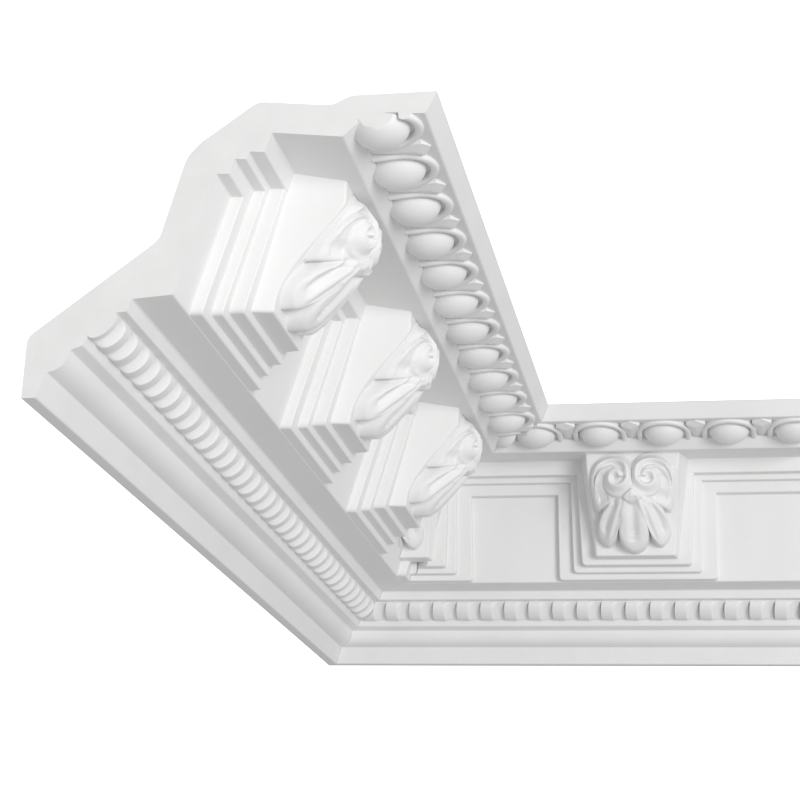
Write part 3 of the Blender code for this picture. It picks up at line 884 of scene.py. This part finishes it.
def swelling(x, down):
    """Broad height of the leaf over the block: an arch down it, falling off to its sides."""
    share = np.clip(down / blockHeight(), 0.0, 1.0)
    arch = np.sin(math.pi * leafSettings["swell"] * share) ** leafSettings["swellPower"]
    return leafSettings["relief"] * arch * (1.0 - (x / leafSettings["fall"]) ** 2)


def ridge(distance, outer, inner):
    """1 on the line, falling as a cosine to 0 at the outer width on one side, inner on the other."""
    width = np.where(distance > 0.0, outer, inner)
    return 0.5 + 0.5 * np.cos(math.pi * np.clip(np.abs(distance) / width, 0.0, 1.0))


def scrollRelief(x, down):
    """Roll wound out from its eye, with the tongue that curls into it and the channel between them."""
    eyeX, eyeDown = scrollSettings["eye"]
    x = np.abs(x)
    out = np.hypot(x - eyeX, down - eyeDown)
    turn = np.degrees(np.arctan2(eyeDown - down, eyeX - x)) % 360.0
    turns, radii = scrollSettings["turns"], scrollSettings["radii"]
    beyondLast, fade = scrollSettings["tail"]
    height = np.zeros_like(x)
    for lap in (0, 1):
        wound = turn + lap * 360.0
        radius = np.interp(wound, turns, radii)
        shown = np.clip((turns[-1] + beyondLast - wound) / fade, 0.0, 1.0)
        inner = scrollSettings["innerWidth"] * (1.0 + lap)
        rolled = ridge(out - radius, scrollSettings["outerWidth"], inner)
        height = np.maximum(height, scrollSettings["crest"] * rolled * shown)
    tongue = scrollSettings["tongue"]
    radius = np.interp(turn, tongue["turns"], tongue["radii"])
    inside = smoothStep(np.minimum(turn - tongue["turns"][0], tongue["turns"][-1] - turn) / tongue["fade"])
    curled = ridge(out - radius, tongue["width"], tongue["width"])
    height = np.maximum(height, tongue["crest"] * inside * curled)
    outer = np.interp(turn + 360.0, turns, radii)
    middle = (radius + outer) / 2
    reach = (outer - radius) / 2 + scrollSettings["channelMargin"]
    hollow = ridge(out - middle, reach, reach)
    height -= scrollSettings["channel"] * inside * hollow
    eye = np.clip(1.0 - out / radii[0], 0.0, 1.0)
    step = scrollSettings["step"]
    beyond = out - np.interp(turn, step["turns"], step["radii"])
    ends = np.minimum(turn - step["turns"][0], step["turns"][-1] - turn) / step["fade"]
    drop = smoothStep(beyond / step["width"]) * np.exp(-np.maximum(beyond, 0.0) / step["reach"])
    return height - scrollSettings["eyeDepth"] * eye**2 - step["depth"] * drop * smoothStep(ends)


def smoothStep(value):
    """0 to 1 with flat ends."""
    share = np.clip(value, 0.0, 1.0)
    return share * share * (3.0 - 2.0 * share)


def strandRelief(x, down):
    """Ridges and hollows along their routes: a cosine across each, fading in and out at its ends."""
    x = np.abs(x)
    fade, begin = leafSettings["strandFade"]
    total = np.zeros_like(x)
    for route, width, crest in leafSettings["strands"].values():
        route = np.array(route)
        best, place = np.full_like(x, 1e3), np.zeros_like(x)
        pieces = len(route) - 1
        for index in range(pieces):
            start, run = route[index], route[index + 1] - route[index]
            fromX, fromDown = x - start[0], down - start[1]
            share = np.clip((fromX * run[0] + fromDown * run[1]) / (run @ run), 0.0, 1.0)
            away = np.hypot(fromX - share * run[0], fromDown - share * run[1])
            place = np.where(away < best, (index + share) / pieces, place)
            best = np.minimum(best, away)
        ends = smoothStep(np.minimum(place, 1.0 - place) * fade + begin)
        total += crest * ends * ridge(best, width, width)
    return total


def budRelief(x, down):
    """Bud with a pointed top and a rounded foot: steep edges and a low crown."""
    below = down - budSettings["down"]
    upper = np.abs(x) / budSettings["half"] - below / budSettings["above"]
    lower = (x / budSettings["half"]) ** 2 + below / budSettings["below"]
    inside = np.clip(1.0 - np.where(below < 0.0, upper, lower), 0.0, 1.0)
    plateau, steep = budSettings["plateau"], smoothStep(inside * budSettings["edge"])
    return budSettings["crest"] * (plateau * steep + (1.0 - plateau) * inside)


def lateShare(share, start):
    """0 up to the start, then evenly to 1."""
    return np.clip((share - start) / (1.0 - start), 0.0, 1.0)


def leaf():
    """Rings from the leaf's heart to its outline, then its edge down to the block."""
    outline = leafOutline()
    share = np.linspace(leafSettings["heartShare"], 1.0, leafSettings["rings"])[:, None]
    heart = leafSettings["heart"]
    x = outline[None, :, 0] * share
    down = heart + (outline[None, :, 1] - heart) * share
    begins = outline[None, :, 3]
    full = np.maximum(leafSettings["fullRise"], begins + 0.5 * (1.0 - begins))
    grown = smoothStep((share - begins) / (full - begins))
    rounding = lateShare(share, leafSettings["edgeFrom"])
    edge = 1.0 - (1.0 - leafSettings["edge"]) * (1.0 - np.sqrt(1.0 - rounding**2))
    fade = 1.0 - lateShare(share, leafSettings["carvingFadesFrom"]) ** 2
    height = swelling(x, down) * edge + outline[None, :, 2] * grown
    scrolls, bud = scrollRelief(x, down), budRelief(x, down)
    carved = np.where(bud > budSettings["least"], np.maximum(scrolls, bud), scrolls)
    height += (carved + strandRelief(x, down)) * fade
    u = blockFront(down) + height
    grid = np.stack([x, u, blockTop() - down], -1)
    foot = grid[-1].copy()
    foot[:, 1] = blockFront(outline[:, 1]) - leafSettings["sink"]
    return tube(np.concatenate([grid, foot[None]]))


# Egg and dart.

eggSettings = {
    "perModillion": 4,
    "halfWidth": 15.6, "halfLength": 15.6, "relief": 10.7, "sink": 0.7, "seat": 10.6, "depth": 3.0,
    "poleGap": 0.06, "sides": 44, "rings": 26,
}
huskSettings = {
    "halfWidth": 18.8, "crown": 30.9, "foot": -0.4,
    "relief": (3.3, 2.8), "thickness": (4.2, 4.8),   # of the legs, and at the crown
    "roundness": 0.5, "sink": 3.0, "archSteps": 40, "legSteps": 6, "sides": 16,
}
dartSettings = {
    "halfWidth": 7.3, "footHalf": 1.7, "relief": 3.9, "edge": 1.1,
    "foot": 0.6, "apex": 24.6, "shoulder": 28.9, "tip": 33.2,
    "tipShare": 0.03, "softness": 0.12, "sink": 3.0, "rows": 60, "sides": 20,
}


def egg():
    """Ellipsoid half sunk in its bed, its lower end over the fillet below."""
    gap = eggSettings["poleGap"]
    polar = np.linspace(gap, math.pi - gap, eggSettings["rings"])[:, None]
    turn = np.linspace(0.0, 2 * math.pi, eggSettings["sides"], endpoint=False)[None]
    wide = eggSettings["halfWidth"] * np.sin(polar) * np.cos(turn)
    radius = np.where(np.sin(turn) > 0.0, eggSettings["relief"] + eggSettings["sink"], eggSettings["depth"])
    high = radius * np.sin(polar) * np.sin(turn) - eggSettings["sink"]
    s = eggSettings["seat"] - eggSettings["halfLength"] * np.cos(polar)
    return tube(eggBed.grid(wide, s, high))


def husk():
    """Rounded rim: two straight legs and a half-round arch over the egg's outer end."""
    half = huskSettings["halfWidth"]
    spring = huskSettings["crown"] - half
    turn = np.linspace(0.0, math.pi, huskSettings["archSteps"])
    leg = np.linspace(huskSettings["foot"], spring, huskSettings["legSteps"])[:-1]
    one, none = np.ones(len(leg)), np.zeros(len(leg))
    outX = np.concatenate([-one, -np.cos(turn), one])
    outS = np.concatenate([none, np.sin(turn), none])
    x = half * outX
    s = np.concatenate([leg, spring + half * np.sin(turn), leg[::-1]])
    thin, thick = huskSettings["thickness"]
    width = (thin + (thick - thin) * outS**2) / 2
    around = np.linspace(0.0, math.pi, huskSettings["sides"])
    across = np.concatenate([-np.cos(around), [1.0, -1.0]])[None] * width[:, None]
    low, high = huskSettings["relief"]
    up = (low + (high - low) * outS)[:, None] * np.sin(around)[None] ** huskSettings["roundness"]
    up = np.concatenate([up, np.full((len(up), 2), -huskSettings["sink"])], 1)
    return tube(eggBed.grid(x[:, None] + outX[:, None] * across, s[:, None] + outS[:, None] * across, up))


def dart():
    """Wedge that widens to its shoulders and ends in a flat lozenge: three planes, softly met."""
    foot, apex, shoulder, tip = (dartSettings[name] for name in ("foot", "apex", "shoulder", "tip"))
    low, high, wide, soft = (dartSettings[name] for name in ("edge", "relief", "halfWidth", "softness"))
    s = np.linspace(foot, tip, dartSettings["rows"])[:, None]
    footHalf = dartSettings["footHalf"]
    rising = footHalf + (wide - footHalf) * (s - foot) / (shoulder - foot)
    closing = wide * np.clip((tip - s) / (tip - shoulder), dartSettings["tipShare"], 1.0)
    half = np.minimum(rising, closing)
    across = np.linspace(-1.0, 1.0, dartSettings["sides"] + 1)[None]
    lozenge = low + (high - low) * (tip - s) / (tip - apex)
    spine = low + (high - low) * (s - foot) / (apex - foot)
    atShoulder = low + (high - low) * (tip - shoulder) / (tip - apex)
    fall = (low + (high - low) * (shoulder - foot) / (apex - foot) - atShoulder) / wide
    slope = fall * half * across
    planes = np.stack(np.broadcast_arrays(lozenge, spine - slope, spine + slope))
    up = np.maximum(-soft * np.log(np.exp(-planes / soft).sum(0)), -low)
    across = np.concatenate([across, [[1.0, -1.0]]], 1)
    up = np.concatenate([up, np.full((len(up), 2), -dartSettings["sink"])], 1)
    return tube(eggBed.grid(half * across, s, up))


# Row of billets.

beadSettings = {
    "pitch": 20.25, "width": 9.8, "relief": (4.4, 5.4), "bow": 1.2, "inset": 0.6, "edge": 0.3,
    "rampEnd": 19.4, "rampPower": 2.6, "softness": 0.4, "sink": 3.0,
    "softSteps": 6, "rows": 12, "sides": 26,
}


def bead():
    """Billet: half round across the bed, bowed towards the corner, with a hollow ramp behind it."""
    soft, width, rows = (beadSettings[name] for name in ("softness", "width", "rows"))
    turn = np.linspace(0.0, math.pi / 2, beadSettings["softSteps"])
    top, ramp = np.linspace(soft, width, rows)[1:], np.linspace(width, beadSettings["rampEnd"], rows)[1:]
    t = np.concatenate([soft * (1 - np.cos(turn)), top, ramp])
    shrink = np.concatenate([soft * (1 - np.sin(turn)), np.zeros(2 * rows - 2)])
    around = np.linspace(0.0, math.pi, beadSettings["sides"])[None]
    half = beadBed.width / 2 - beadSettings["inset"] - shrink[:, None]
    s = beadBed.width / 2 - half * np.cos(around)
    low, high = beadSettings["relief"]
    left = np.clip((beadSettings["rampEnd"] - t) / (beadSettings["rampEnd"] - width), 0.0, 1.0)
    crest = (low + (high - low) * np.minimum(t / width, 1.0) - shrink) * left ** beadSettings["rampPower"]
    crest = np.maximum(crest, beadSettings["edge"])[:, None]
    n = beadSettings["edge"] + (crest - beadSettings["edge"]) * np.sin(around)
    t = t[:, None] - beadSettings["bow"] * np.sin(around)
    t = np.concatenate([t, t[:, -1:], t[:, :1]], 1)
    s = np.concatenate([s, s[:, -1:], s[:, :1]], 1)
    n = np.concatenate([n, np.full((len(n), 2), -beadSettings["sink"])], 1)
    return tube(beadBed.grid(t, s, n))


# Put the two lengths together.

modillionPitch = 200.0


def placesAlong(start, pitch, low, high):
    """Places in a row through start, between low and high."""
    first = start - pitch * math.floor((start - low) / pitch)
    return np.arange(first, high, pitch)


def buildLength(side):
    """All pieces of one cast length, cut at the mitre and at its square end."""
    values = lengths[side]
    length = values["length"]
    frames = [frameSlab(index) for index in range(len(frameSettings["steps"]))]
    carved = (block(), leaf())
    bothEnds = (mitrePlane(), endPlane(side))
    addPiece(side + "_section", [sectionRun(length)], side, replaces=values["node"])
    reach = frameSettings["halfWidths"][0][0]
    middles = placesAlong(values["modillion"], modillionPitch, -reach, length + reach)
    addPiece(side + "_frames", [moved(slab, t) for t in middles for slab in frames], side, planes=bothEnds)
    number = 0
    for t in middles:
        if t + blockSettings["backHalf"][0] > corners["firstBand"][0]:
            number += 1
            runsPast = side == "right" and t - blockSettings["backHalf"][0] < blockFront(0.0)
            planes = (crossingFriezePlane(),) if runsPast else bothEnds
            addPiece(f"{side}_modillion_{number}", [moved(shape, t) for shape in carved], side, planes=planes)
    eggPitch = modillionPitch / eggSettings["perModillion"]
    row = []
    for t in placesAlong(values["egg"], eggPitch, -eggPitch, length + eggPitch):
        row += [moved(egg(), t), moved(husk(), t), moved(dart(), t + eggPitch / 2)]
    addPiece(side + "_egg_and_dart", row, side, planes=bothEnds)
    beadPitch = beadSettings["pitch"]
    places = placesAlong(values["bead"], beadPitch, -beadPitch, length + beadPitch)
    addPiece(side + "_beads", [moved(bead(), t) for t in places], side, planes=bothEnds)


for side in lengths:
    buildLength(side)
print("both lengths built")
